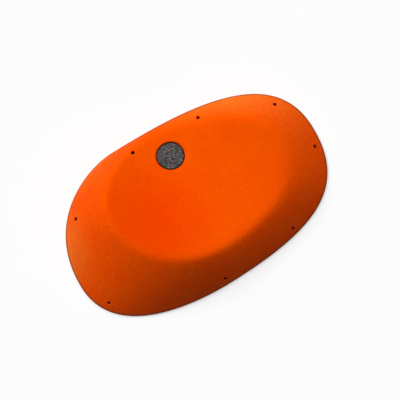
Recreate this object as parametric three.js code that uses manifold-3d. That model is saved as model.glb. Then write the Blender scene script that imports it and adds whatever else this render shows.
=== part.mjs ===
// Climbing hold: a long, dished sloper, cast hollow at the back, with a round badge let into its face.
// Eight screws round the edge fasten it to the wall, each through a steel washer cast into the shell.
// Millimetres. The back plane is z = 0, +Z points away from the wall, +X runs along the footprint and
// the origin is the centre of the footprint on the back plane.

import * as THREE from 'three';
import { mergeVertices } from 'three/addons/utils/BufferGeometryUtils.js';
import Module from 'manifold-3d';

const wasm = await Module();
wasm.setup();

// Driving dimensions: footprint

const length = 450;
const width = 277;
const baseLand = 3; // upright edge round the back

// Where the outline touches its box, as shares of the other side of the box, from the centre
const outlineTouchShares = { right: 0.021, top: -0.158, left: -0.072, bottom: -0.038 };

// How far each quarter of the outline keeps straight on from the box's end and from its side
const outlineHandleShares = {
  rightTop: { end: 0.83, side: 0.58 },
  leftTop: { end: 0.77, side: 0.31 },
  leftBottom: { end: 0.92, side: 0.23 },
  rightBottom: { end: 0.79, side: 0.67 },
};

// Driving dimensions: the dish and the ridge round it

const dishCentreHeight = 39; // over the footprint's centre
const dishTiltHeight = 36.5; // fall from the centre to the right end
const dishLiftHeight = 18; // what the third power gives back at the right end
const dishEndHeight = 104; // rise towards both ends, by the square of the distance
const dishEaseHeight = 104; // what the fourth power takes off that rise again
const dishFallHeight = 23.5; // fall towards the open side
const dishReturnHeight = 47; // how far that fall turns round towards the ends
const thinEdgeHeight = 15; // least thickness at the open side
const thinEdgeSoftness = 2.5;

const ridgeHalfLength = 147.5; // the ridge is an oval in plan
const ridgeHalfWidth = 102;
const ridgeTurn = THREE.MathUtils.degToRad(-10);
const ridgeLobeShare = 0.032; // how much fuller the oval is towards three bearings, +X the first
const ridgeCentreShares = { along: 0.037, across: 0.0715 };
const ridgeMargin = 8.7; // the ridge stays this far inside the outline
const ridgeMarginSoftness = 3;
const ridgeSoftness = 2.5; // rounding over the ridge
const ridgeSoftnessShare = 0.25; // most rounding, as a share of a low wall's height
const wallBulgeShare = 0.3; // how much steeper than its mean the wall starts

// Driving dimensions: the hollow back

const shellWall = 9;
const rimWidth = 24; // flat land that lies on the wall
const rimFaceSteepness = 5;
const hollowCorner = 2; // rounding between the rim's face and the ceiling
const ribFoot = 7;
const ribSetback = 2; // the ribs stop short of the back plane
const ribDraftShare = 0.04;
const longRibShare = 0.04;
const crossRibShares = [-0.19, 0.17];

// Driving dimensions: screws

const screwBearingShares = [0.294, 0.162, 0.056, 0.98, 0.866, 0.725, 0.55, 0.427]; // of a full turn
const screwInsets = [19, 16.5, 13.2, 12, 10.2, 10.6, 13.4, 15.5]; // from the outline to the mouth, in plan
const screwBoreRadius = 3;
const screwLeanShare = 0.6; // 0 drills square to the wall, 1 square to the face
const screwBossRadius = 13;
const washerRadius = 7;
const washerBoreRadius = 3.2;
const washerThickness = 1.6;
const washerDepth = 6.5; // from the mouth to the washer's top

// Driving dimensions: badge

const badgePlaceShares = { along: 0.017, across: 0.302 };
const badgeRadius = 22.3;
const badgeThickness = 2.6;
const badgeRimWidth = 1.8;
const badgeFieldDrop = 0.5; // the field lies this far below the rim
const badgeRingRadius = 16.5;
const badgeRingWidth = 1.2;
const badgeSink = 0.4; // the rim's top lies this far below the face
const badgeEdgeBreak = 0.4;
const padRadius = 20;
const padThickness = 0.8;

// Clearances and mesh steps

const clearance = 0.3; // between the shell and what it holds
const badgeClearance = 0.5; // round the badge
const overrun = 6; // how far a cutter runs past what it cuts
const slopeStep = 0.5;
const ceilingSlopeStep = 8; // the hollow follows the face's mean slope over this distance
const mergeStep = 1e-4;
const crossingSlack = 1e-6; // so that a ray through a corner meets the line, as a share of an edge
const quarterSteps = 20;
const dishRings = 7;
const ridgeRings = 6;
const wallRings = 5;
const ridgeBandShare = 0.45; // half width of the fine rings over the ridge, as a share of the wall
const hollowRings = 5;
const hollowWallRings = 2;
const hollowRidgeShare = 0.93; // the last of the inner rings follows the ridge, but stays this far in
const hollowCornerShares = [0.5, 0.85, 1.15, 1.6]; // rings in the rim's face and corner
const boreSides = 16;
const washerSides = 24;
const bossSides = 20;
const badgeSides = 48;

// Finishes

const castOrange = new THREE.MeshStandardMaterial({ color: 0xf75004, roughness: 0.9, metalness: 0 });
const badgeGrey = new THREE.MeshStandardMaterial({ color: 0x3f4144, roughness: 0.5, metalness: 0 });
const padBlack = new THREE.MeshStandardMaterial({ color: 0x1b1b1b, roughness: 1, metalness: 0 });
const washerSteel = new THREE.MeshStandardMaterial({ color: 0xb9bcc0, roughness: 0.35, metalness: 1 });

// Small helpers

function smoothMin(a, b, softness) {
  return Math.min(a, b) - softness * Math.log1p(Math.exp(-Math.abs(a - b) / softness));
}

function smoothMax(a, b, softness) {
  return -smoothMin(-a, -b, softness);
}

function toSolid(geometry, matrix = new THREE.Matrix4()) {
  const bare = geometry.clone();
  bare.deleteAttribute('normal');
  bare.deleteAttribute('uv');
  bare.applyMatrix4(matrix);
  const merged = mergeVertices(bare, mergeStep);
  return new wasm.Manifold(new wasm.Mesh({
    numProp: 3,
    vertProperties: new Float32Array(merged.attributes.position.array),
    triVerts: new Uint32Array(merged.index.array),
  }));
}

function toGeometry(solid) {
  const mesh = solid.getMesh();
  const geometry = new THREE.BufferGeometry();
  geometry.setAttribute('position', new THREE.BufferAttribute(new Float32Array(mesh.vertProperties), 3));
  geometry.setIndex(new THREE.BufferAttribute(new Uint32Array(mesh.triVerts), 1));
  geometry.computeVertexNormals();
  return geometry;
}

function subtractAll(solid, cutters) {
  return cutters.reduce((rest, cutter) => rest.subtract(cutter), solid);
}

// A cylinder along +Z from z = low to z = high
function rod(radius, low, high, sides) {
  const geometry = new THREE.CylinderGeometry(radius, radius, high - low, sides);
  geometry.rotateX(Math.PI / 2);
  geometry.translate(0, 0, (low + high) / 2);
  return geometry;
}

// Plan outline: four curved quarters, counter-clockwise from the right end

const halfLength = length / 2;
const halfWidth = width / 2;
const rightEnd = new THREE.Vector2(halfLength, outlineTouchShares.right * width);
const topSide = new THREE.Vector2(outlineTouchShares.top * length, halfWidth);
const leftEnd = new THREE.Vector2(-halfLength, outlineTouchShares.left * width);
const bottomSide = new THREE.Vector2(outlineTouchShares.bottom * length, -halfWidth);

function quarterPoles(end, side, shares) {
  const endHandle = new THREE.Vector2(end.x, end.y + shares.end * (side.y - end.y));
  const sideHandle = new THREE.Vector2(side.x + shares.side * (end.x - side.x), side.y);
  return [end, endHandle, sideHandle, side];
}

const outline = [
  quarterPoles(rightEnd, topSide, outlineHandleShares.rightTop),
  quarterPoles(leftEnd, topSide, outlineHandleShares.leftTop).reverse(),
  quarterPoles(leftEnd, bottomSide, outlineHandleShares.leftBottom),
  quarterPoles(rightEnd, bottomSide, outlineHandleShares.rightBottom).reverse(),
].flatMap((poles) => new THREE.CubicBezierCurve(...poles).getSpacedPoints(quarterSteps).slice(0, -1));

// Unit vector into the footprint at each point of a closed, counter-clockwise line
function inwardAt(line, index) {
  const before = line[(index + line.length - 1) % line.length];
  const after = line[(index + 1) % line.length];
  const along = after.clone().sub(before).normalize();
  return new THREE.Vector2(-along.y, along.x);
}

const rimLine = outline.map((point, index) => (
  point.clone().addScaledVector(inwardAt(outline, index), rimWidth)
));

// Crossing of a closed line by the ray that leaves a centre in a direction
function crossing(line, centre, direction) {
  let best = { distance: 0, index: 0 };
  line.forEach((start, index) => {
    const edge = line[(index + 1) % line.length].clone().sub(start);
    const offset = start.clone().sub(centre);
    const turn = direction.cross(edge);
    const distance = offset.cross(edge) / turn;
    const along = offset.cross(direction) / turn;
    if (distance > best.distance && along > -crossingSlack && along < 1 + crossingSlack) {
      best = { distance, index };
    }
  });
  return best;
}

// The face: a dish inside the ridge, a wall outside it, run into each other over the ridge

const ridgeCentre = new THREE.Vector2(ridgeCentreShares.along * length, ridgeCentreShares.across * width);

function dishHeight(x, y) {
  const along = x / halfLength;
  const across = y / halfWidth;
  const square = along ** 2;
  const ends = dishEndHeight * square - dishEaseHeight * square ** 2;
  const tilt = dishLiftHeight * square * along - dishTiltHeight * along;
  const sides = dishReturnHeight * square * across - dishFallHeight * across;
  return smoothMax(dishCentreHeight + ends + tilt + sides, thinEdgeHeight, thinEdgeSoftness);
}

// A ray from the ridge's centre: how far it reaches to the outline and to the ridge
function rayTowards(direction, outlineReach) {
  const turned = direction.clone().rotateAround(new THREE.Vector2(), -ridgeTurn);
  const ellipseReach = 1 / Math.hypot(turned.x / ridgeHalfLength, turned.y / ridgeHalfWidth);
  const ovalReach = ellipseReach * (1 + ridgeLobeShare * Math.cos(3 * direction.angle()));
  const ridgeReach = smoothMin(ovalReach, outlineReach - ridgeMargin, ridgeMarginSoftness);
  return { direction, outlineReach, ridgeReach };
}

// Share of the wall's height, where climb is 0 at the outline and 1 at the ridge
function wallShare(climb) {
  if (climb > 1) {
    return 1 + (1 - wallBulgeShare) * (climb - 1);
  }
  return climb + wallBulgeShare * climb * (1 - climb);
}

function heightOnRay(ray, distance) {
  const ridgePoint = ray.direction.clone().multiplyScalar(ray.ridgeReach).add(ridgeCentre);
  const point = ray.direction.clone().multiplyScalar(distance).add(ridgeCentre);
  const rise = dishHeight(ridgePoint.x, ridgePoint.y) - baseLand;
  const climb = (ray.outlineReach - distance) / (ray.outlineReach - ray.ridgeReach);
  const wall = baseLand + rise * wallShare(climb);
  const softness = ridgeSoftness * (1 - Math.exp(-ridgeSoftnessShare * rise / ridgeSoftness));
  return smoothMin(wall, dishHeight(point.x, point.y), softness);
}

function faceHeight(x, y) {
  const offset = new THREE.Vector2(x, y).sub(ridgeCentre);
  const distance = offset.length();
  const direction = distance > 0 ? offset.normalize() : new THREE.Vector2(1, 0);
  const outlineReach = crossing(outline, ridgeCentre, direction).distance;
  return heightOnRay(rayTowards(direction, outlineReach), distance);
}

function faceSlope(x, y, step) {
  const alongX = (faceHeight(x + step, y) - faceHeight(x - step, y)) / (2 * step);
  const alongY = (faceHeight(x, y + step) - faceHeight(x, y - step)) / (2 * step);
  return new THREE.Vector2(alongX, alongY);
}

function faceNormal(x, y) {
  const slope = faceSlope(x, y, slopeStep);
  return new THREE.Vector3(-slope.x, -slope.y, 1).normalize();
}

// A closed solid over a flat floor: rings of points round the ridge's centre, each at its height
function ringedSolid(rays, distancesOf, heightOf, floor) {
  const centreHeight = heightOf(rays[0], 0);
  const positions = [ridgeCentre.x, ridgeCentre.y, centreHeight, ridgeCentre.x, ridgeCentre.y, floor];
  const rings = distancesOf(rays[0]).length;
  rays.forEach((ray) => {
    const distances = distancesOf(ray);
    distances.forEach((distance) => {
      const point = ray.direction.clone().multiplyScalar(distance).add(ridgeCentre);
      positions.push(point.x, point.y, heightOf(ray, distance));
    });
    const last = ray.direction.clone().multiplyScalar(distances[rings - 1]).add(ridgeCentre);
    positions.push(last.x, last.y, floor);
  });
  const columns = rings + 1;
  const at = (ray, ring) => 2 + (ray % rays.length) * columns + ring;
  const faces = [];
  rays.forEach((_, ray) => {
    faces.push(0, at(ray, 0), at(ray + 1, 0));
    for (let ring = 0; ring < rings; ring += 1) {
      faces.push(at(ray, ring), at(ray, ring + 1), at(ray + 1, ring + 1));
      faces.push(at(ray, ring), at(ray + 1, ring + 1), at(ray + 1, ring));
    }
    faces.push(1, at(ray + 1, rings), at(ray, rings));
  });
  const geometry = new THREE.BufferGeometry();
  geometry.setAttribute('position', new THREE.Float32BufferAttribute(positions, 3));
  geometry.setIndex(faces);
  return toSolid(geometry);
}

// Solid block under the face

const faceRays = outline.map((point) => {
  const offset = point.clone().sub(ridgeCentre);
  return rayTowards(offset.clone().normalize(), offset.length());
});

// Even steps after one distance, up to and with another
function spread(from, to, count) {
  return Array.from({ length: count }, (_, step) => from + (to - from) * (step + 1) / count);
}

function faceDistances(ray) {
  const band = ridgeBandShare * (ray.outlineReach - ray.ridgeReach);
  const inner = ray.ridgeReach - band;
  const outer = ray.ridgeReach + band;
  return [
    ...spread(0, inner, dishRings),
    ...spread(inner, outer, ridgeRings),
    ...spread(outer, ray.outlineReach, wallRings),
  ];
}

function makeBlock() {
  const heightOf = (ray, distance) => (
    distance < ray.outlineReach ? heightOnRay(ray, distance) : baseLand
  );
  return ringedSolid(faceRays, faceDistances, heightOf, 0);
}

// Hollow in the back: the face set in by the shell's wall, inside the rim

function ceilingHeight(x, y) {
  const slope = faceSlope(x, y, ceilingSlopeStep);
  return faceHeight(x, y) - shellWall * Math.hypot(1, slope.x, slope.y);
}

const hollowRays = faceRays.map((ray) => {
  const rimReach = crossing(rimLine, ridgeCentre, ray.direction).distance;
  const edge = ray.direction.clone().multiplyScalar(rimReach).add(ridgeCentre);
  const corner = Math.max(ceilingHeight(edge.x, edge.y), hollowCorner) / rimFaceSteepness;
  return { ...ray, rimReach, corner };
});

function hollowDistances(ray) {
  const cornerDistances = hollowCornerShares.map((share) => ray.rimReach - share * ray.corner);
  const corner = Math.min(...cornerDistances);
  const ridge = Math.min(ray.ridgeReach, hollowRidgeShare * corner);
  const wall = spread(ridge, corner, hollowWallRings + 1).slice(0, -1);
  return [...spread(0, ridge, hollowRings), ...wall, ...cornerDistances.reverse(), ray.rimReach];
}

function hollowHeight(ray, distance) {
  if (distance >= ray.rimReach) {
    return 0;
  }
  const point = ray.direction.clone().multiplyScalar(distance).add(ridgeCentre);
  const rimFace = rimFaceSteepness * (ray.rimReach - distance);
  const height = smoothMin(ceilingHeight(point.x, point.y), rimFace, hollowCorner);
  return Math.max(height, -overrun / 2);
}

// Ribs across the hollow, tapered so that the casting leaves its mould

function ribSolid(run, height, matrix) {
  const root = ribFoot + 2 * ribDraftShare * height;
  const profile = new THREE.Shape([
    new THREE.Vector2(-ribFoot / 2, 0),
    new THREE.Vector2(ribFoot / 2, 0),
    new THREE.Vector2(root / 2, height),
    new THREE.Vector2(-root / 2, height),
  ]);
  const geometry = new THREE.ExtrudeGeometry(profile, { depth: run, bevelEnabled: false });
  geometry.translate(0, ribSetback, -run / 2);
  return toSolid(geometry, matrix);
}

function makeRibs(height) {
  const up = new THREE.Vector3(0, 0, 1);
  const alongX = new THREE.Matrix4().makeBasis(new THREE.Vector3(0, 1, 0), up, new THREE.Vector3(1, 0, 0));
  const alongY = new THREE.Matrix4().makeBasis(new THREE.Vector3(-1, 0, 0), up, new THREE.Vector3(0, 1, 0));
  const longRib = ribSolid(length, height, alongX.setPosition(0, longRibShare * width, 0));
  const crossRibs = crossRibShares.map((share) => (
    ribSolid(width, height, alongY.clone().setPosition(share * length, 0, 0))
  ));
  return [longRib, ...crossRibs];
}

// Screws: each frame stands at a screw's mouth, with +Z along the bore and out of the face

const screwFrames = screwBearingShares.map((bearingShare, screw) => {
  const bearing = bearingShare * 2 * Math.PI;
  const direction = new THREE.Vector2(Math.cos(bearing), Math.sin(bearing));
  const { distance, index } = crossing(outline, new THREE.Vector2(), direction);
  const inward = inwardAt(outline, index).multiplyScalar(screwInsets[screw]);
  const mouth = direction.multiplyScalar(distance).add(inward);
  const mouthHeight = faceHeight(mouth.x, mouth.y);
  const axis = new THREE.Vector3(0, 0, 1).lerp(faceNormal(mouth.x, mouth.y), screwLeanShare).normalize();
  const turn = new THREE.Quaternion().setFromUnitVectors(new THREE.Vector3(0, 0, 1), axis);
  const position = new THREE.Vector3(mouth.x, mouth.y, mouthHeight);
  const matrix = new THREE.Matrix4().compose(position, turn, new THREE.Vector3(1, 1, 1));
  return { position, turn, matrix, run: mouthHeight / axis.z };
});

function screwBore(frame) {
  return toSolid(rod(screwBoreRadius, -frame.run - overrun, overrun, boreSides), frame.matrix);
}

function washerPocket(frame) {
  const top = -washerDepth + clearance;
  const bottom = -washerDepth - washerThickness - clearance;
  return toSolid(rod(washerRadius + clearance, bottom, top, washerSides), frame.matrix);
}

function screwBoss(frame) {
  return toSolid(rod(screwBossRadius, -frame.run - 2 * overrun, 0, bossSides), frame.matrix);
}

function makeWasher(frame, index) {
  const profile = [
    new THREE.Vector2(washerBoreRadius, -washerThickness),
    new THREE.Vector2(washerRadius, -washerThickness),
    new THREE.Vector2(washerRadius, 0),
    new THREE.Vector2(washerBoreRadius, 0),
    new THREE.Vector2(washerBoreRadius, -washerThickness),
  ];
  const geometry = new THREE.LatheGeometry(profile, washerSides);
  geometry.rotateX(Math.PI / 2);
  geometry.translate(0, 0, -washerDepth);
  const washer = new THREE.Mesh(geometry, washerSteel);
  washer.name = `screw_washer_${index + 1}`;
  washer.position.copy(frame.position);
  washer.quaternion.copy(frame.turn);
  return washer;
}

// Badge: its group stands on the face, with +Z along the face's normal

const badgePlace = new THREE.Vector2(badgePlaceShares.along * length, badgePlaceShares.across * width);
const badgeGroup = new THREE.Group();
badgeGroup.position.set(badgePlace.x, badgePlace.y, faceHeight(badgePlace.x, badgePlace.y));
badgeGroup.quaternion.setFromUnitVectors(
  new THREE.Vector3(0, 0, 1),
  faceNormal(badgePlace.x, badgePlace.y),
);
badgeGroup.updateMatrix();

const badgeFoot = -badgeSink - badgeThickness;
const padFoot = badgeFoot - clearance - padThickness;
const recessFoot = padFoot - clearance;

function badgeRecess() {
  return toSolid(rod(badgeRadius + badgeClearance, recessFoot, overrun, badgeSides), badgeGroup.matrix);
}

function badgeSeat() {
  const radius = badgeRadius + shellWall;
  return toSolid(rod(radius, recessFoot - shellWall, 0, badgeSides), badgeGroup.matrix);
}

function makeBadge() {
  const top = badgeThickness;
  const field = top - badgeFieldDrop;
  const rimInside = badgeRadius - badgeRimWidth;
  const ringOutside = badgeRingRadius + badgeRingWidth / 2;
  const ringInside = badgeRingRadius - badgeRingWidth / 2;
  const profile = [
    [0, 0],
    [badgeRadius, 0],
    [badgeRadius, top - badgeEdgeBreak],
    [badgeRadius - badgeEdgeBreak, top],
    [rimInside, top],
    [rimInside - badgeFieldDrop, field],
    [ringOutside + badgeFieldDrop, field],
    [ringOutside, top],
    [ringInside, top],
    [ringInside - badgeFieldDrop, field],
    [0, field],
  ].map(([radius, height]) => new THREE.Vector2(radius, height));
  const geometry = new THREE.LatheGeometry(profile, badgeSides);
  geometry.rotateX(Math.PI / 2);
  geometry.translate(0, 0, badgeFoot);
  const badge = new THREE.Mesh(geometry, badgeGrey);
  badge.name = 'badge';
  return badge;
}

function makePad() {
  const pad = new THREE.Mesh(rod(padRadius, padFoot, padFoot + padThickness, badgeSides), padBlack);
  pad.name = 'badge_adhesive_pad';
  return pad;
}

// Shell: the block, less the hollow between its ribs and bosses, the bores, the pockets and the recess

function makeShell() {
  const block = makeBlock();
  const tallest = block.boundingBox().max[2];
  const openHollow = ringedSolid(hollowRays, hollowDistances, hollowHeight, -overrun);
  const kept = [...makeRibs(tallest), ...screwFrames.map(screwBoss), badgeSeat()];
  const hollow = subtractAll(openHollow, kept);
  const cutters = [hollow, ...screwFrames.map(screwBore), ...screwFrames.map(washerPocket), badgeRecess()];
  const shell = new THREE.Mesh(toGeometry(subtractAll(block, cutters)), castOrange);
  shell.name = 'hold_shell';
  return shell;
}

const hold = new THREE.Group();
badgeGroup.add(makeBadge(), makePad());
hold.add(makeShell(), badgeGroup, ...screwFrames.map(makeWasher));

export default hold;
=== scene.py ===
"""Climbing hold: a long dished sloper in sand-textured orange, with a round badge let into its face.

The hold lies on a pale studio floor and is seen from straight above. Its shell, badge, adhesive pad and
cast-in washers are each modelled as the separate pieces they are, in the same places as in the frame.
The hold's sizes are in millimetres, and a finished mesh is brought to metres in one step. The studio's
sizes are in metres.
"""

import logging
import math
from bisect import bisect_right
from dataclasses import dataclass, field
from enum import Enum
from typing import Callable

import bmesh
import bpy
from bmesh.types import BMesh, BMVert
from bpy.types import Material, Mesh, Node, NodeSocket, NodeTree, Object
from mathutils import Matrix, Vector, geometry, noise

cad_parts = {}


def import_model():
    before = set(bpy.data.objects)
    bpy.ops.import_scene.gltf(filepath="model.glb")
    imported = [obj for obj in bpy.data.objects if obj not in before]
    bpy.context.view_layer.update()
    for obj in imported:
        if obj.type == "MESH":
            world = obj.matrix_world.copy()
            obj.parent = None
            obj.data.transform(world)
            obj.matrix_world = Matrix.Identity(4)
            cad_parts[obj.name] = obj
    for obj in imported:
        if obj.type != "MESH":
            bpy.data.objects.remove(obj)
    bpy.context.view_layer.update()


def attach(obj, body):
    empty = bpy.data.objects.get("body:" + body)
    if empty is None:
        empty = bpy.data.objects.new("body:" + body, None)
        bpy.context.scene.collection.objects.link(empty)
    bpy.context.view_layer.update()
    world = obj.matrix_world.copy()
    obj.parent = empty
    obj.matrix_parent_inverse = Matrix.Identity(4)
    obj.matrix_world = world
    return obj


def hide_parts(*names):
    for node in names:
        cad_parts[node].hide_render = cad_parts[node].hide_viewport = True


LOG = logging.getLogger("climbing_hold")
MILLIMETRE = 0.001
MERGE_DISTANCE = 0.01
SPIN_MERGE_DISTANCE = 0.0001
ROOT_BODY = "root"
WHITE = (1.0, 1.0, 1.0)
UP = Vector((0, 0, 1))

Triple = tuple[float, float, float]
Colour = Triple
Span = tuple[float, float]
Profile = list[tuple[float, float]]
Ring = list[Vector]


class Socket(Enum):
    """Sockets of the Principled shader that the finishes set."""

    COLOUR = "Base Color"
    ROUGHNESS = "Roughness"
    METAL = "Metallic"
    NORMAL = "Normal"
    SPECULAR = "Specular IOR Level"
    SPECULAR_TINT = "Specular Tint"


class Mark(Enum):
    """Values that a mesh carries for its finish."""

    DISH = "dish"
    DOWN_WALL = "down_wall"
    OUTER = "outer"
    BORE = "bore"
    RELIEF = "relief"
    RIM = "rim"


class Domain(Enum):
    """Which elements of a mesh carry a value."""

    POINT = "POINT"
    CORNER = "CORNER"


# Shared helpers


def clamped(value: float) -> float:
    """The value, held between 0 and 1."""
    return max(0.0, min(1.0, value))


def smooth_min(first: float, second: float, softness: float) -> float:
    """Lower of two heights, with the corner between them rounded.

    Args:
        first: One height.
        second: The other height.
        softness: How far the rounding reaches, in the heights' unit.

    Returns:
        The rounded minimum.
    """
    gap = abs(first - second) / softness
    return min(first, second) - softness * math.log1p(math.exp(-gap))


def smooth_max(first: float, second: float, softness: float) -> float:
    """Higher of two heights, with the corner between them rounded."""
    return -smooth_min(-first, -second, softness)


def spread(start: float, end: float, count: int) -> list[float]:
    """Even steps after one distance, up to and with another."""
    return [start + (end - start) * (step + 1) / count for step in range(count)]


def inward(before: Vector, after: Vector) -> Vector:
    """Unit vector into a counter-clockwise outline, between two of its points."""
    along = (after - before).normalized()
    return Vector((-along.y, along.x, 0))


def frame_at(place: Vector, axis: Vector) -> Matrix:
    """Frame at a place, with +Z along a unit vector."""
    turn = UP.rotation_difference(axis).to_matrix().to_4x4()
    return Matrix.Translation(place) @ turn


def to_object(shape: BMesh, name: str, matrix: Matrix | None = None) -> Object:
    """Turns a finished bmesh into an object whose faces point outwards.

    Args:
        shape: The mesh being built. It is freed here.
        name: The object's name.
        matrix: Moves the mesh to its place, if it isn't there yet.

    Returns:
        The new object, linked to the scene.
    """
    if matrix is not None:
        bmesh.ops.transform(shape, matrix=matrix, verts=shape.verts)
    bmesh.ops.recalc_face_normals(shape, faces=shape.faces)
    mesh = bpy.data.meshes.new(name)
    shape.to_mesh(mesh)
    shape.free()
    made = bpy.data.objects.new(name, mesh)
    bpy.context.scene.collection.objects.link(made)
    return made


def turned(profile: Profile, steps: int) -> BMesh:
    """Spins a profile that runs from axis to axis, or closes on itself, round +Z.

    Args:
        profile: Points, each given by its radius and its height.
        steps: Faces round the axis.

    Returns:
        The closed turned shape.
    """
    shape = bmesh.new()
    points = [shape.verts.new((radius, 0, height)) for radius, height in profile]
    edges = [shape.edges.new(pair) for pair in zip(points, points[1:])]
    bmesh.ops.spin(
        shape,
        geom=points + edges,
        axis=(0, 0, 1),
        cent=(0, 0, 0),
        angle=math.tau,
        steps=steps,
        use_merge=True,
    )
    bmesh.ops.remove_doubles(shape, verts=shape.verts, dist=SPIN_MERGE_DISTANCE)
    return shape


def disc(radius: float, low: float, high: float) -> Profile:
    """Profile of a plain disc between two heights."""
    return [(0, low), (radius, low), (radius, high), (0, high)]


def discard(piece: Object) -> None:
    """Removes a helper object together with its mesh."""
    mesh = piece.data
    bpy.data.objects.remove(piece, do_unlink=True)
    bpy.data.meshes.remove(mesh)


def mend(mesh: Mesh) -> None:
    """Tidies a cut mesh: merges points that lie all but on each other, and makes every face flat.

    Args:
        mesh: The mesh, which is changed in place.
    """
    shape = bmesh.new()
    shape.from_mesh(mesh)
    bmesh.ops.remove_doubles(shape, verts=shape.verts, dist=MERGE_DISTANCE)
    bmesh.ops.dissolve_degenerate(shape, dist=MERGE_DISTANCE, edges=shape.edges)
    bmesh.ops.triangulate(shape, faces=shape.faces, quad_method="BEAUTY", ngon_method="BEAUTY")
    shape.to_mesh(mesh)
    shape.free()


def cut(body: Object, tools: list[Object]) -> None:
    """Cuts tools from a body, and removes the tools.

    Args:
        body: The closed shape that is kept.
        tools: The closed shapes that are cut away.
    """
    group = bpy.data.collections.new("tools")
    for tool in tools:
        group.objects.link(tool)
    modifier = body.modifiers.new("cut", "BOOLEAN")
    modifier.operation = "DIFFERENCE"
    modifier.operand_type = "COLLECTION"
    modifier.collection = group
    modifier.solver = "EXACT"
    bpy.context.scene.collection.children.link(group)
    bpy.context.view_layer.update()
    seen = body.evaluated_get(bpy.context.evaluated_depsgraph_get())
    result = bpy.data.meshes.new_from_object(seen)
    body.modifiers.clear()
    mend(result)
    before = body.data
    body.data = result
    bpy.data.meshes.remove(before)
    for tool in tools:
        discard(tool)
    bpy.data.collections.remove(group)


def store(mesh: Mesh, mark: Mark, domain: Domain, numbers: list[float]) -> None:
    """Stores one number for each point, or each face corner, of a mesh."""
    mesh.attributes.new(mark.value, "FLOAT", domain.value).data.foreach_set("value", numbers)


def finish_mesh(piece: Object, crease: float) -> None:
    """Brings a piece to metres and shades it smooth but for its creases.

    Args:
        piece: The piece, modelled in millimetres.
        crease: Least angle in degrees at which an edge shows as an edge.
    """
    piece.data.transform(Matrix.Scale(MILLIMETRE, 4))
    piece.data.shade_smooth()
    piece.data.set_sharp_from_angle(angle=math.radians(crease))
    piece.data.update()


def place(piece: Object, finish: Material, nodes: list[str], slot: str) -> None:
    """Dresses a piece and lets it stand for its nodes of the frame.

    Args:
        piece: The finished piece.
        finish: Its material.
        nodes: The nodes that it replaces.
        slot: The name of a material slot; it is not used.
    """
    piece.data.materials.clear()
    piece.data.materials.append(finish)
    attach(piece, ROOT_BODY)
    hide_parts(*nodes)
    LOG.info("%s: %d faces", piece.name, len(piece.data.polygons))


# Finishes


def shown(tree: NodeTree) -> NodeSocket:
    """Adds nodes that give 1 where the camera sees a thing, directly, in gloss or through glass.

    Args:
        tree: The node tree of the thing's material, or of the world.

    Returns:
        1 for such a ray, and 0 for one that carries light to the hold.
    """
    path = tree.nodes.new("ShaderNodeLightPath")
    total = path.outputs["Is Camera Ray"]
    for name in ("Is Glossy Ray", "Is Transmission Ray"):
        both = tree.nodes.new("ShaderNodeMath")
        both.operation = "MAXIMUM"
        tree.links.new(total, both.inputs[0])
        tree.links.new(path.outputs[name], both.inputs[1])
        total = both.outputs["Value"]
    return total


@dataclass(frozen=True)
class Spot:
    """A round place where a colour is strongest, and the reach at which it has faded out."""

    x: float
    y: float
    z: float
    reach: float


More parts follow.
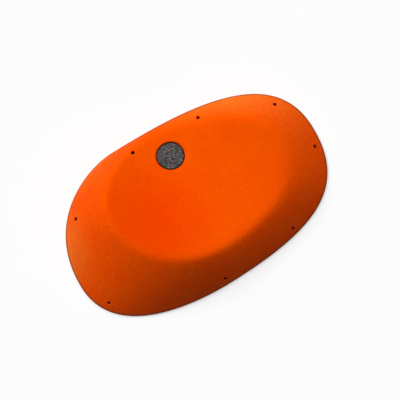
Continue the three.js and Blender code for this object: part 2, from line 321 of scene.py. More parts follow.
class NodeSheet:
    """A material's node tree, with one short call for each pattern."""

    def __init__(self, name: str) -> None:
        """Starts a material with a Principled shader.

        Args:
            name: The material's name.
        """
        self.material = bpy.data.materials.new(name)
        self.material.use_nodes = True
        self.tree = self.material.node_tree
        self.shader = self.tree.nodes["Principled BSDF"]
        self.place = self.add("ShaderNodeTexCoord").outputs["Object"]

    def add(self, kind: str, **settings: str | bool) -> Node:
        """Adds a node.

        Args:
            kind: Blender's name for the kind of node.
            settings: The node's properties that aren't left as they are.

        Returns:
            The new node.
        """
        node = self.tree.nodes.new(kind)
        for name, value in settings.items():
            setattr(node, name, value)
        return node

    def feed(self, target: NodeSocket, value: object) -> None:
        """Gives a node's input another node's output to read, or a plain value.

        Args:
            target: The input.
            value: An output, a number, a vector or a colour.
        """
        if isinstance(value, NodeSocket):
            self.tree.links.new(value, target)
        elif target.type == "RGBA":
            target.default_value = (*value, 1.0)
        else:
            target.default_value = value

    def set(self, socket: Socket, value: object) -> None:
        """Gives the surface a pattern, or a value that is the same all over it."""
        self.feed(self.shader.inputs[socket.value], value)

    def worked_out(self, kind: str, operation: str, *values: object) -> Node:
        """Adds a node that works out one value from others.

        Args:
            kind: Blender's name for the kind of node.
            operation: What it does with its inputs.
            values: What its inputs get, in their order.

        Returns:
            The new node.
        """
        node = self.add(kind, operation=operation)
        for target, value in zip(node.inputs, values):
            self.feed(target, value)
        return node

    def product(self, first: NodeSocket, second: NodeSocket) -> NodeSocket:
        """Multiplies two factors."""
        return self.worked_out("ShaderNodeMath", "MULTIPLY", first, second).outputs["Value"]

    def weighted(self, first: NodeSocket, second: NodeSocket, share: float) -> NodeSocket:
        """Adds a share of a second pattern to a first."""
        return self.worked_out("ShaderNodeMath", "MULTIPLY_ADD", second, share, first).outputs["Value"]

    def tinted(self, colour: NodeSocket, tint: NodeSocket) -> NodeSocket:
        """Multiplies a colour by a tint, channel by channel."""
        return self.worked_out("ShaderNodeVectorMath", "MULTIPLY", colour, tint).outputs["Vector"]

    def stored(self, mark: Mark) -> NodeSocket:
        """Reads a value that the mesh carries."""
        return self.add("ShaderNodeAttribute", attribute_name=mark.value).outputs["Fac"]

    def ramp(self, factor: NodeSocket, low: float, high: float) -> NodeSocket:
        """Stretches a value, and holds the result between 0 and 1.

        Args:
            factor: The value.
            low: What becomes 0.
            high: What becomes 1.

        Returns:
            The stretched value.
        """
        node = self.add("ShaderNodeMapRange", clamp=True)
        self.feed(node.inputs["From Min"], low)
        self.feed(node.inputs["From Max"], high)
        self.feed(node.inputs["Value"], factor)
        return node.outputs["Result"]

    def mix(self, factor: NodeSocket, first: object, second: object) -> NodeSocket:
        """Mixes two colours, each given as a colour or as a node's output.

        Args:
            factor: 0 for the first colour and 1 for the second.
            first: The first colour.
            second: The second colour.

        Returns:
            The mixed colour.
        """
        node = self.add("ShaderNodeMix", data_type="RGBA")
        self.feed(node.inputs["Factor"], factor)
        for side, value in zip(("A", "B"), (first, second)):
            target = next(s for s in node.inputs if s.name == side and s.type == "RGBA")
            self.feed(target, value)
        return next(s for s in node.outputs if s.type == "RGBA")

    def grain(self, size: float, detail: float = 2.0, stretch: Triple | None = None) -> NodeSocket:
        """Adds noise over the piece.

        Args:
            size: Size of one grain in millimetres.
            detail: How many finer layers it has.
            stretch: How much the pattern is scaled along X, Y and Z, if it isn't even.

        Returns:
            The noise's factor.
        """
        texture = self.add("ShaderNodeTexNoise")
        self.feed(texture.inputs["Scale"], 1 / (size * MILLIMETRE))
        self.feed(texture.inputs["Detail"], detail)
        where = self.place
        if stretch is not None:
            mapping = self.add("ShaderNodeMapping")
            self.feed(mapping.inputs["Scale"], stretch)
            self.feed(mapping.inputs["Vector"], where)
            where = mapping.outputs["Vector"]
        self.feed(texture.inputs["Vector"], where)
        return texture.outputs["Fac"]

    def height(self) -> NodeSocket:
        """Height over the object's own origin.

        Returns:
            The height in metres.
        """
        parts = self.add("ShaderNodeSeparateXYZ")
        self.feed(parts.inputs["Vector"], self.place)
        return parts.outputs["Z"]

    def nearness(self, spot: Spot) -> NodeSocket:
        """Falls off evenly round a spot.

        Args:
            spot: The spot, in millimetres.

        Returns:
            1 at the spot and 0 at its reach.
        """
        centre = Vector((spot.x, spot.y, spot.z)) * MILLIMETRE
        away = self.worked_out("ShaderNodeVectorMath", "DISTANCE", self.place, centre)
        return self.ramp(away.outputs["Value"], spot.reach * MILLIMETRE, 0)

    def bump(self, height: NodeSocket, depth: float) -> None:
        """Raises the surface by a pattern.

        Args:
            height: The pattern.
            depth: How far a value of 1 raises it, in millimetres.
        """
        node = self.add("ShaderNodeBump")
        self.feed(node.inputs["Distance"], depth * MILLIMETRE)
        self.feed(node.inputs["Height"], height)
        self.set(Socket.NORMAL, node.outputs["Normal"])

    def glow_where_seen(self, strength: float) -> None:
        """Adds white to what the camera sees, without lighting anything.

        Args:
            strength: How much white is added, where 1 is all of it.
        """
        glow = self.add("ShaderNodeEmission")
        self.feed(glow.inputs["Strength"], shown(self.tree))
        self.feed(glow.inputs["Color"], (strength, strength, strength))
        both = self.add("ShaderNodeAddShader")
        self.feed(both.inputs[0], self.shader.outputs["BSDF"])
        self.feed(both.inputs[1], glow.outputs["Emission"])
        self.feed(self.tree.nodes["Material Output"].inputs["Surface"], both.outputs["Shader"])


@dataclass(frozen=True)
class CastOrangeFinish:
    """Orange cast plastic with a fine sand texture for grip.

    Painted bounce light makes the dish's left end redder, a painted sheen makes three places low on the
    walls that face the lamps paler, and painted shade darkens a thin line over its foot and the screw
    bores.
    """

    name: str = "cast_orange"
    bright: Colour = (0.98, 0.101, 0.0)
    deep: Colour = (0.96, 0.088, 0.0)
    # Painted bounce light: redder orange for the dish's left end, as if the concave dish lit itself
    painted_bounce_red: Colour = (0.99, 0.056, 0.0)
    # Painted sheen: paler, yellower orange where the walls face the lamps
    pale: Colour = (0.97, 0.212, 0.02)
    # Painted shade: dark line over the foot, where the wall meets the floor
    foot: Colour = (0.3, 0.05, 0.006)
    # Painted shade: dark colour down the screw bores
    bore: Colour = (0.5, 0.01, 0.001)
    dish_grit: Colour = (0.96, 0.85, 0.85)
    wall_grit: Colour = (0.91, 0.74, 0.74)
    sand_size: float = 0.9
    sand_detail: float = 3.0
    clump_size: float = 4.2
    grit_clump_share: float = 2.0
    grit_span: Span = (1.15, 1.85)
    relief_clump_share: float = 1.4
    relief_depth: float = 0.28
    mottle_size: float = 38.0
    mottle_detail: float = 3.0
    mottle_span: Span = (0.3, 0.7)
    # Painted bounce light: where the dish's left end is shown redder
    painted_bounce_spot: Spot = Spot(-72.0, 8.0, 42.0, reach=115.0)
    # Painted sheen: places low on the walls that face the lamps
    painted_sheen_spots: tuple[Spot, ...] = (
        Spot(135.0, 110.0, 20.0, reach=145.0),
        Spot(-222.0, 50.0, 8.0, reach=79.0),
        Spot(-120.0, 190.0, 0.0, reach=92.0),
    )
    # Heights of the painted shade over the foot: where it starts, where it is darkest and where it fades
    # out
    foot_shade_start: float = 1.0
    foot_shade_low: float = 2.6
    foot_shade_high: float = 7.0
    roughness: float = 0.62
    specular: float = 0.06
    specular_tint: Colour = (1.0, 0.7, 0.0)

    def build(self) -> Material:
        """Makes the material.

        Returns:
            Matte orange with sand grain, small clumps and a broad faint mottle.
        """
        sheet = NodeSheet(self.name)
        sand = sheet.grain(self.sand_size, self.sand_detail)
        clumps = sheet.grain(self.clump_size)
        mottle = sheet.ramp(sheet.grain(self.mottle_size, self.mottle_detail), *self.mottle_span)
        patches = sheet.mix(mottle, self.deep, self.bright)
        walls = patches
        # Painted sheen: the walls turn paler round each place, more so further down
        for spot in self.painted_sheen_spots:
            paler = sheet.product(sheet.nearness(spot), sheet.stored(Mark.DOWN_WALL))
            walls = sheet.mix(paler, walls, self.pale)
        # Painted bounce light: the dish turns redder towards its left end
        dish = sheet.mix(sheet.nearness(self.painted_bounce_spot), patches, self.painted_bounce_red)
        in_dish = sheet.stored(Mark.DISH)
        plain = sheet.mix(in_dish, walls, dish)
        grit = sheet.mix(in_dish, self.wall_grit, self.dish_grit)
        speckle = sheet.ramp(sheet.weighted(sand, clumps, self.grit_clump_share), *self.grit_span)
        gritty = sheet.tinted(plain, sheet.mix(speckle, grit, WHITE))
        # Painted shade: a thin dark band over the foot, on the outer face only
        height = sheet.height()
        below = sheet.ramp(height, self.foot_shade_high * MILLIMETRE, self.foot_shade_low * MILLIMETRE)
        above = sheet.ramp(height, 0, self.foot_shade_start * MILLIMETRE)
        band = sheet.product(sheet.product(below, above), sheet.stored(Mark.OUTER))
        foot_shaded = sheet.mix(band, gritty, self.foot)
        # Painted shade down the screw bores, laid over everything else
        sheet.set(Socket.COLOUR, sheet.mix(sheet.stored(Mark.BORE), foot_shaded, self.bore))
        sheet.bump(sheet.weighted(sand, clumps, self.relief_clump_share), self.relief_depth)
        sheet.set(Socket.ROUGHNESS, self.roughness)
        sheet.set(Socket.SPECULAR, self.specular)
        sheet.set(Socket.SPECULAR_TINT, self.specular_tint)
        return sheet.material


@dataclass(frozen=True)
class BadgeGreyFinish:
    """Dark grey moulded badge, with raised parts rubbed a little lighter and a black bevelled rim."""

    name: str = "badge_grey"
    low: Colour = (0.005, 0.005, 0.006)
    dull: Colour = (0.099, 0.08965, 0.08855)
    worn: Colour = (0.18, 0.163, 0.161)
    rim: Colour = (0.003, 0.003, 0.003)
    rim_span: Span = (0.2, 0.5)
    grain_size: float = 0.7
    grain_depth: float = 0.06
    scuff_size: float = 5.0
    scuff_detail: float = 4.0
    scuff_span: Span = (0.35, 0.7)
    roughness_span: Span = (1.9, -1.4)
    specular: float = 0.1

    def build(self) -> Material:
        """Makes the material.

        Returns:
            Dark grey that lightens with the badge's stored relief, and is smoother where it is scuffed.
        """
        sheet = NodeSheet(self.name)
        scuffs = sheet.ramp(sheet.grain(self.scuff_size, self.scuff_detail), *self.scuff_span)
        raised = sheet.mix(scuffs, self.dull, self.worn)
        face = sheet.mix(sheet.stored(Mark.RELIEF), self.low, raised)
        on_rim = sheet.ramp(sheet.stored(Mark.RIM), *self.rim_span)
        sheet.set(Socket.COLOUR, sheet.mix(on_rim, face, self.rim))
        sheet.bump(sheet.grain(self.grain_size), self.grain_depth)
        sheet.set(Socket.ROUGHNESS, sheet.ramp(scuffs, *self.roughness_span))
        sheet.set(Socket.SPECULAR, self.specular)
        return sheet.material


@dataclass(frozen=True)
class PadBlackFinish:
    """Black foam tape under the badge."""

    name: str = "pad_black"
    dark: Colour = (0.008, 0.008, 0.008)
    pale: Colour = (0.02, 0.02, 0.021)
    cell_size: float = 0.6
    cell_span: Span = (0.35, 0.65)
    cell_depth: float = 0.1
    roughness: float = 1.0

    def build(self) -> Material:
        """Makes the material.

        Returns:
            Dull black, with small cells a little paler and higher than the rest.
        """
        sheet = NodeSheet(self.name)
        cells = sheet.ramp(sheet.grain(self.cell_size), *self.cell_span)
        sheet.set(Socket.COLOUR, sheet.mix(cells, self.dark, self.pale))
        sheet.bump(cells, self.cell_depth)
        sheet.set(Socket.ROUGHNESS, self.roughness)
        return sheet.material


@dataclass(frozen=True)
class WasherSteelFinish:
    """Dark phosphated steel, rolled along X."""

    name: str = "washer_steel"
    light: Colour = (0.09, 0.08, 0.075)
    dark: Colour = (0.055, 0.05, 0.047)
    line_size: float = 0.3
    line_stretch: Triple = (0.1, 1.0, 1.0)
    line_span: Span = (0.3, 0.7)
    line_depth: float = 0.02
    roughness: float = 0.5

    def build(self) -> Material:
        """Makes the material.

        Returns:
            Grey metal with fine rolling lines.
        """
        sheet = NodeSheet(self.name)
        lines = sheet.ramp(sheet.grain(self.line_size, stretch=self.line_stretch), *self.line_span)
        sheet.set(Socket.COLOUR, sheet.mix(lines, self.dark, self.light))
        sheet.bump(lines, self.line_depth)
        sheet.set(Socket.METAL, 1.0)
        sheet.set(Socket.ROUGHNESS, self.roughness)
        return sheet.material


@dataclass(frozen=True)
class StudioPaperFinish:
    """White paper that still takes the hold's shadow."""

    name: str = "studio_paper"
    plain: Colour = (0.57, 0.57, 0.57)
    cloudy: Colour = (0.56145, 0.56145, 0.56145)
    cloud_size: float = 260.0
    cloud_span: Span = (0.2, 0.8)
    roughness: float = 1.0
    specular: float = 0.1
    glow: float = 0.487

    def build(self) -> Material:
        """Makes the material.

        Returns:
            Matt paper that is all but white to the camera.
        """
        sheet = NodeSheet(self.name)
        clouds = sheet.ramp(sheet.grain(self.cloud_size), *self.cloud_span)
        sheet.set(Socket.COLOUR, sheet.mix(clouds, self.cloudy, self.plain))
        sheet.set(Socket.ROUGHNESS, self.roughness)
        sheet.set(Socket.SPECULAR, self.specular)
        sheet.glow_where_seen(self.glow)
        return sheet.material


# The hold's form


@dataclass
class ClosedLine:
    """A closed line round a centre, read by its bearing from there."""

    points: Ring
    centre: Vector
    bearings: list[float] = field(init=False)
    distances: list[float] = field(init=False)

    def __post_init__(self) -> None:
        """Sorts the line's points by bearing, with one turn of overlap at each end."""
        polar = []
        for point in self.points:
            offset = point.xy - self.centre.xy
            polar.append((math.atan2(offset.y, offset.x), offset.length))
        polar.sort()
        first, last = polar[0], polar[-1]
        around = [(last[0] - math.tau, last[1]), *polar, (first[0] + math.tau, first[1])]
        self.bearings = [bearing for bearing, _ in around]
        self.distances = [distance for _, distance in around]

    def reach(self, direction: Vector) -> float:
        """Distance from the centre to the line.

        Args:
            direction: The direction in which it is measured.

        Returns:
            The distance.
        """
        bearing = math.atan2(direction.y, direction.x)
        after = min(max(bisect_right(self.bearings, bearing), 1), len(self.bearings) - 1)
        start, end = self.bearings[after - 1], self.bearings[after]
        part = (bearing - start) / (end - start)
        return self.distances[after - 1] * (1 - part) + self.distances[after] * part


@dataclass
class Ray:
    """A direction from the ridge's centre, with its reach to the outline and to the ridge."""

    direction: Vector
    outline: float
    ridge: float


@dataclass
class HoldForm:
    """The face's form: a dish inside an oval ridge, and a wall outside it.

    The outline touches its box at shares of the width and length, at the right, top, left and bottom. It
    runs from one touch to the next in a quarter with a handle at the box's end and another at its side.
    """

    length: float = 450.0
    width: float = 277.0
    base_land: float = 3.0
    touch_shares: tuple[float, float, float, float] = (0.021, -0.158, -0.072, -0.038)
    end_handles: tuple[float, float, float, float] = (0.83, 0.77, 0.92, 0.79)
    side_handles: tuple[float, float, float, float] = (0.58, 0.31, 0.23, 0.67)
    dish_centre_height: float = 39.0
    dish_tilt_height: float = 36.5
    dish_lift_height: float = 18.0
    dish_end_height: float = 104.0
    dish_ease_height: float = 104.0
    dish_fall_height: float = 23.5
    dish_return_height: float = 47.0
    thin_edge: float = 15.0
    thin_edge_softness: float = 2.5
    ridge_half_length: float = 147.5
    ridge_half_width: float = 102.0
    ridge_turn: float = math.radians(-10)
    ridge_lobes: int = 3
    ridge_lobe_share: float = 0.032
    ridge_centre_shares: tuple[float, float] = (0.037, 0.0715)
    ridge_margin: float = 8.7
    ridge_margin_softness: float = 3.0
    ridge_softness: float = 2.5
    ridge_softness_share: float = 0.25
    wall_bulge_share: float = 0.3
    fine_steps: int = 400
    normal_step: float = 0.5
    centre: Vector = field(init=False)
    edge: ClosedLine = field(init=False)

    def __post_init__(self) -> None:
        """Works out the ridge's centre and the outline by bearing."""
        along, across = self.ridge_centre_shares
        self.centre = Vector((along * self.length, across * self.width, 0))
        self.edge = ClosedLine(self.outline(self.fine_steps), self.centre)

    def quarter(self, end: Vector, side: Vector, index: int, steps: int) -> Ring:
        """One quarter of the outline.

        Args:
            end: Where it touches the box's end.
            side: Where it touches the box's side.
            index: Which of the handles it has.
            steps: Points on it, without the last.

        Returns:
            Its points, from the end to the side.
        """
        end_handle = Vector((end.x, end.y + self.end_handles[index] * (side.y - end.y), 0))
        side_handle = Vector((side.x + self.side_handles[index] * (end.x - side.x), side.y, 0))
        return geometry.interpolate_bezier(end, end_handle, side_handle, side, steps + 1)

    def outline(self, steps: int) -> Ring:
        """Footprint of the hold, counter-clockwise from its right end.

        Args:
            steps: Points on each quarter.

        Returns:
            The closed outline, without its first point repeated.
        """
        half_length, half_width = self.length / 2, self.width / 2
        right, top, left, bottom = self.touch_shares
        right_end = Vector((half_length, right * self.width, 0))
        top_side = Vector((top * self.length, half_width, 0))
        left_end = Vector((-half_length, left * self.width, 0))
        bottom_side = Vector((bottom * self.length, -half_width, 0))
        quarters = [
            self.quarter(right_end, top_side, 0, steps),
            self.quarter(left_end, top_side, 1, steps)[::-1],
            self.quarter(left_end, bottom_side, 2, steps),
            self.quarter(right_end, bottom_side, 3, steps)[::-1],
        ]
        return [point for quarter in quarters for point in quarter[:-1]]

    def dish_height(self, x: float, y: float) -> float:
        """Height of the dish.

        Args:
            x: Place along the hold.
            y: Place across it.

        Returns:
            The height over the back plane.
        """
        along = x / (self.length / 2)
        across = y / (self.width / 2)
        square = along**2
        ends = self.dish_end_height * square - self.dish_ease_height * square**2
        ends += (self.dish_lift_height * square - self.dish_tilt_height) * along
        sides = (self.dish_return_height * square - self.dish_fall_height) * across
        height = self.dish_centre_height + ends + sides
        return smooth_max(height, self.thin_edge, self.thin_edge_softness)

    def ray(self, direction: Vector, outline: float) -> Ray:
        """Ray from the ridge's centre.

        Args:
            direction: Its direction, as a unit vector.
            outline: Its reach to the outline.

        Returns:
            The ray, with its reach to the ridge.
        """
        bearing = math.atan2(direction.y, direction.x)
        from_axis = bearing - self.ridge_turn
        oval = 1 / math.hypot(
            math.cos(from_axis) / self.ridge_half_length,
            math.sin(from_axis) / self.ridge_half_width,
        )
        oval *= 1 + self.ridge_lobe_share * math.cos(self.ridge_lobes * bearing)
        ridge = smooth_min(oval, outline - self.ridge_margin, self.ridge_margin_softness)
        return Ray(direction, outline, ridge)

    def ray_through(self, x: float, y: float) -> tuple[Ray, float]:
        """Ray from the ridge's centre through a point.

        Args:
            x: The point's place along the hold.
            y: Its place across it.

        Returns:
            The ray, and the point's distance along it.
        """
        offset = Vector((x, y, 0)) - self.centre
        direction = offset.normalized() if offset.length > 0 else Vector((1, 0, 0))
        return self.ray(direction, self.edge.reach(direction)), offset.length

    def height_on(self, ray: Ray, distance: float) -> float:
        """Height of the face at a distance along a ray.

        Args:
            ray: A ray from the ridge's centre.
            distance: Distance along it.

        Returns:
            The face's height over the back plane.
        """
        top = self.centre + ray.direction * ray.ridge
        point = self.centre + ray.direction * distance
        rise = self.dish_height(top.x, top.y) - self.base_land
        climb = (ray.outline - distance) / (ray.outline - ray.ridge)
        if climb > 1:
            share = 1 + (1 - self.wall_bulge_share) * (climb - 1)
        else:
            share = climb + self.wall_bulge_share * climb * (1 - climb)
        wall = self.base_land + rise * share
        dish = self.dish_height(point.x, point.y)
        roundness = 1 - math.exp(-self.ridge_softness_share * rise / self.ridge_softness)
        return smooth_min(wall, dish, self.ridge_softness * roundness)

    def height(self, x: float, y: float) -> float:
        """Height of the face over any point of the footprint."""
        return self.height_on(*self.ray_through(x, y))

    def slope(self, x: float, y: float, step: float) -> Vector:
        """Steepness of the face.

        Args:
            x: Place along the hold.
            y: Place across it.
            step: How far to each side the heights are compared.

        Returns:
            The rise along X and along Y.
        """
        along = (self.height(x + step, y) - self.height(x - step, y)) / (2 * step)
        across = (self.height(x, y + step) - self.height(x, y - step)) / (2 * step)
        return Vector((along, across))

    def normal(self, x: float, y: float) -> Vector:
        """Unit vector square to the face and out of it."""
        slope = self.slope(x, y, self.normal_step)
        return Vector((-slope.x, -slope.y, 1)).normalized()


Height = Callable[[Ray, float], float]


def flat(height: float) -> Height:
    """The same height at every distance along every ray."""
    return lambda ray, distance: height


def ringed(rings: list[Ring], tip: Vector, name: str) -> Object:
    """Closed shape that rises from a flat floor, ring by ring, to a tip.

    Args:
        rings: Rings of the same number of points, from the floor up.
        tip: The point that closes the last ring.
        name: The object's name.

    Returns:
        The closed shape.
    """
    shape = bmesh.new()
    count = len(rings[0])
    current = bmesh.ops.create_circle(shape, cap_ends=True, segments=count, radius=1)["verts"]
    for vertex, point in zip(current, rings[0]):
        vertex.co = point
    for ring in rings[1:]:
        edges = [shape.edges.get((current[i], current[(i + 1) % count])) for i in range(count)]
        made = bmesh.ops.extrude_edge_only(shape, edges=edges)["geom"]
        fresh = {part for part in made if isinstance(part, BMVert)}
        beside = [[edge.other_vert(vertex) for edge in vertex.link_edges] for vertex in current]
        current = [next(vertex for vertex in vertices if vertex in fresh) for vertices in beside]
        for vertex, point in zip(current, ring):
            vertex.co = point
    bmesh.ops.pointmerge(shape, verts=current, merge_co=tip)
    return to_object(shape, name)


# Pieces


@dataclass
class ScrewPlace:
    """One screw hole.

    Its matrix is the frame at its mouth, with +Z along the bore and out of the face. Its run is the
    distance from there to the back plane.
    """

    matrix: Matrix
    run: float


@dataclass
class ScrewRow:
    """The eight screw holes round the edge, and the washers cast in under their mouths."""

    form: HoldForm
    bearing_shares: tuple[float, ...] = (0.294, 0.162, 0.056, 0.98, 0.866, 0.725, 0.55, 0.427)
    insets: tuple[float, ...] = (19.0, 16.5, 13.2, 12.0, 10.2, 10.6, 13.4, 15.5)
    edge_steps: int = 20
    beyond_edge: float = 1000.0
    lean_share: float = 0.6
    bore_radius: float = 3.0
    mouth_break: float = 0.45
    boss_radius: float = 13.0
    washer_radius: float = 7.0
    washer_bore_radius: float = 3.2
    washer_thickness: float = 1.6
    washer_depth: float = 6.5
    edge_break: float = 0.2
    clearance: float = 0.3
    overrun: float = 6.0
    steps: int = 48
    crease: float = 25.0

    def places(self) -> list[ScrewPlace]:
        """Finds each mouth on the face and the lean of its bore.

        Returns:
            The eight places, in the order of the frame's washers.
        """
        found = []
        for share, inset in zip(self.bearing_shares, self.insets):
            foot, inside = self.edge_at(share * math.tau)
            mouth = foot + inside * inset
            mouth.z = self.form.height(mouth.x, mouth.y)
            square = self.form.normal(mouth.x, mouth.y)
            axis = UP.lerp(square, self.lean_share).normalized()
            found.append(ScrewPlace(frame_at(mouth, axis), mouth.z / axis.z))
        return found

    def edge_at(self, bearing: float) -> tuple[Vector, Vector]:
        """Finds where a ray from the middle crosses the outline.

        Args:
            bearing: The ray's bearing in radians.

        Returns:
            The crossing, and the unit vector that points inwards there.
        """
        line = self.form.outline(self.edge_steps)
        middle = Vector((0, 0))
        beyond = Vector((math.cos(bearing), math.sin(bearing))) * self.beyond_edge
        for index, start in enumerate(line):
            end = line[(index + 1) % len(line)]
            crossing = geometry.intersect_line_line_2d(start.xy, end.xy, middle, beyond)
            if crossing is not None:
                return crossing.to_3d(), inward(line[index - 1], end)
        raise ValueError("the outline doesn't go round the middle")

    def bore_cutter(self, spot: ScrewPlace, name: str) -> Object:
        """Tool for a bore with a broken mouth and its washer's pocket.

        Args:
            spot: The screw hole.
            name: The object's name.

        Returns:
            The closed tool.
        """
        radius, pocket = self.bore_radius, self.washer_radius + self.clearance
        bottom = -spot.run - self.overrun
        roof = -self.washer_depth + self.clearance
        floor = -self.washer_depth - self.washer_thickness - self.clearance
        flare = radius + self.mouth_break + self.overrun
        profile = [
            (0, bottom),
            (radius, bottom),
            (radius, floor),
            (pocket, floor),
            (pocket, roof),
            (radius, roof),
            (radius, -self.mouth_break),
            (flare, self.overrun),
            (0, self.overrun),
        ]
        return to_object(turned(profile, self.steps), name, spot.matrix)

    def boss(self, spot: ScrewPlace, name: str) -> Object:
        """Column of solid plastic round a bore."""
        profile = disc(self.boss_radius, -spot.run - 2 * self.overrun, 0)
        return to_object(turned(profile, self.steps), name, spot.matrix)

    def washer(self, spot: ScrewPlace, name: str) -> Object:
        """Flat washer with its punched edges just broken.

        Args:
            spot: The screw hole.
            name: The object's name.

        Returns:
            The washer, in its pocket.
        """
        inside, outside, edge = self.washer_bore_radius, self.washer_radius, self.edge_break
        top, foot = -self.washer_depth, -self.washer_depth - self.washer_thickness
        profile = [
            (inside, foot + edge),
            (inside + edge, foot),
            (outside - edge, foot),
            (outside, foot + edge),
            (outside, top - edge),
            (outside - edge, top),
            (inside + edge, top),
            (inside, top - edge),
            (inside, foot + edge),
        ]
        return to_object(turned(profile, self.steps), name, spot.matrix)

    def build_washers(self, finish: Material) -> None:
        """Makes the eight washers, each in its own pocket.

        Args:
            finish: Their material.
        """
        for number, spot in enumerate(self.places(), start=1):
            node = f"screw_washer_{number}"
            piece = self.washer(spot, f"steel_washer_{number}")
            finish_mesh(piece, self.crease)
            place(piece, finish, [node], "washer_steel")


@dataclass
class Badge:
    """Round badge glued into a recess in the face.

    It has a bevelled rim and a field of small pebbles, with a raised ring between two grooves round it. Its
    frame has +Z along the face's normal and its origin on the face.
    """

    form: HoldForm
    place_shares: tuple[float, float] = (0.017, 0.302)
    radius: float = 22.3
    thickness: float = 2.6
    rim_width: float = 2.6
    rim_drop: float = 1.1
    field_drop: float = 0.5
    ring_radius: float = 16.5
    ring_width: float = 1.2
    groove_width: float = 0.7
    pebble_size: float = 4.4
    pebble_steepness: float = 3.0
    sink: float = 0.4
    edge_break: float = 0.4
    pad_radius: float = 20.0
    pad_thickness: float = 0.8
    clearance: float = 0.3
    recess_clearance: float = 0.5
    lip_break: float = 0.5
    overrun: float = 6.0
    steps: int = 192
    field_rings: int = 44
    pad_steps: int = 96
    crease: float = 40.0
    pad_crease: float = 30.0
    matrix: Matrix = field(init=False)
    foot: float = field(init=False)
    pad_foot: float = field(init=False)
    recess_foot: float = field(init=False)

    def __post_init__(self) -> None:
        """Works out the badge's frame and the heights of what lies under it."""
        along, across = self.place_shares
        x, y = along * self.form.length, across * self.form.width
        self.matrix = frame_at(Vector((x, y, self.form.height(x, y))), self.form.normal(x, y))
        self.foot = -self.sink - self.thickness
        self.pad_foot = self.foot - self.clearance - self.pad_thickness
        self.recess_foot = self.pad_foot - self.clearance

    def recess_cutter(self) -> Object:
        """Tool for the recess, with its lip broken.

        Returns:
            The closed tool.
        """
        radius = self.radius + self.recess_clearance
        profile = [
            (0, self.recess_foot),
            (radius, self.recess_foot),
            (radius, -self.lip_break),
            (radius + self.lip_break + self.overrun, self.overrun),
            (0, self.overrun),
        ]
        return to_object(turned(profile, self.steps), "recess_cutter", self.matrix)

    def seat(self, wall: float) -> Object:
        """Plastic behind the recess, as thick as the shell's wall."""
        profile = disc(self.radius + wall, self.recess_foot - wall, 0)
        return to_object(turned(profile, self.steps), "badge_seat", self.matrix)

    def rim_share(self, point: Vector) -> float:
        """How far down the rim's bevel a point of the badge's top lies, from 0 to 1."""
        radius = math.hypot(point.x, point.y)
        return clamped((radius - self.radius + self.rim_width) / self.rim_width)

    def relief(self, point: Vector) -> float:
        """Share of the relief's full height at a point of the badge's top.

        Args:
            point: A point in the badge's own frame.

        Returns:
            0 in the grooves and between the pebbles, and 1 on the pebbles and on the ring.
        """
        off_ring = abs(math.hypot(point.x, point.y) - self.ring_radius) - self.ring_width / 2
        if off_ring < self.groove_width:
            return 1.0 if off_ring < 0 else 0.0
        near, after = noise.voronoi(Vector((point.x, point.y, 0)) / self.pebble_size)[0][:2]
        return clamped(self.pebble_steepness * (after - near))

    def build_badge(self, finish: Material) -> None:
        """Makes the badge: a turned disc whose fine top is cut into its relief.

        Args:
            finish: Its material.
        """
        top, edge = self.thickness, self.edge_break
        tops = [(radius, top) for radius in spread(self.radius - edge, 0, self.field_rings)]
        profile = [(0, 0), (self.radius, 0), (self.radius, top - self.rim_drop), *tops]
        shape = turned(profile, self.steps)
        relief = shape.verts.layers.float.new(Mark.RELIEF.value)
        rim = shape.verts.layers.float.new(Mark.RIM.value)
        for vertex in shape.verts:
            vertex[rim] = 1.0
            if vertex.co.z > top - edge / 2:
                vertex[relief] = self.relief(vertex.co)
                vertex[rim] = self.rim_share(vertex.co)
                vertex.co.z -= self.field_drop * (1 - vertex[relief]) * (1 - vertex[rim])
                vertex.co.z -= self.rim_drop * vertex[rim]
        matrix = self.matrix @ Matrix.Translation((0, 0, self.foot))
        piece = to_object(shape, "face_badge", matrix)
        finish_mesh(piece, self.crease)
        place(piece, finish, ["badge"], "badge_grey")

    def build_pad(self, finish: Material) -> None:
        """Makes the foam disc that holds the badge.

        Args:
            finish: Its material.
        """
        profile = disc(self.pad_radius, self.pad_foot, self.pad_foot + self.pad_thickness)
        piece = to_object(turned(profile, self.pad_steps), "foam_pad", self.matrix)
        finish_mesh(piece, self.pad_crease)
        place(piece, finish, ["badge_adhesive_pad"], "pad_black")


